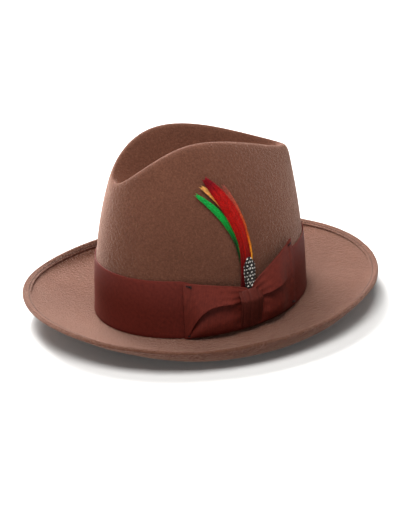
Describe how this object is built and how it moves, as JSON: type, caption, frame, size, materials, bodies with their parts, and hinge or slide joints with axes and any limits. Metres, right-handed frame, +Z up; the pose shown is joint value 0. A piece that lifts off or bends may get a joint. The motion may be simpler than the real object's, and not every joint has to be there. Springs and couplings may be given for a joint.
{
  "type": "fedora hat",
  "caption": "Tall-crowned felt fedora with a centre crease, a curled welted brim, a wide ribbon with a flat bow and a spray of dyed feathers behind its knot.",
  "frame": {"origin": "middle of the bounding box at the table the brim rests on", "axes": "+Z up through the crown, -Y to the hat's front, +X to the wearer's left, where the bow is"},
  "size_m": [0.2988, 0.3489, 0.1711],
  "materials": {
    "felt": "brushed wool felt",
    "thread": "cotton thread",
    "grosgrain": "ribbed ribbon",
    "tack_thread": "cotton thread",
    "feather_red": "dyed hackle",
    "feather_orange": "dyed hackle",
    "feather_green": "dyed hackle",
    "feather_gold": "dyed hackle",
    "feather_spotted": "guinea feather",
    "leather": "smooth leather",
    "reed": "cloth covered reed",
    "band_thread": "cotton thread",
    "satin": "satin",
    "piping": "satin cord",
    "paper": "plain card"
  },
  "bodies": {
    "hat": {"felt_body": "felt", "welt_stitching": "thread", "ribbon": "grosgrain", "bow_backing": "grosgrain", "bow_wing_front": "grosgrain", "bow_wing_back": "grosgrain", "bow_knot": "grosgrain", "bow_tacks": "tack_thread", "sweatband": "leather", "sweatband_reed": "reed", "sweatband_stitching": "band_thread", "sweatband_bow": "tack_thread", "lining_side": "satin", "lining_tip": "satin", "lining_piping": "piping", "size_label": "paper"},
    "feathers": {"feather_red": "feather_red", "feather_orange": "feather_orange", "feather_green": "feather_green", "feather_gold": "feather_gold", "feather_spotted": "feather_spotted", "quill_binding": "thread"}
  },
  "joints": [
    {"name": "feather_slide", "type": "slide", "parent": "hat", "child": "feathers", "axis": [-0.0809, 0, 0.9967], "range_m": [0, 0.035]}
  ]
}
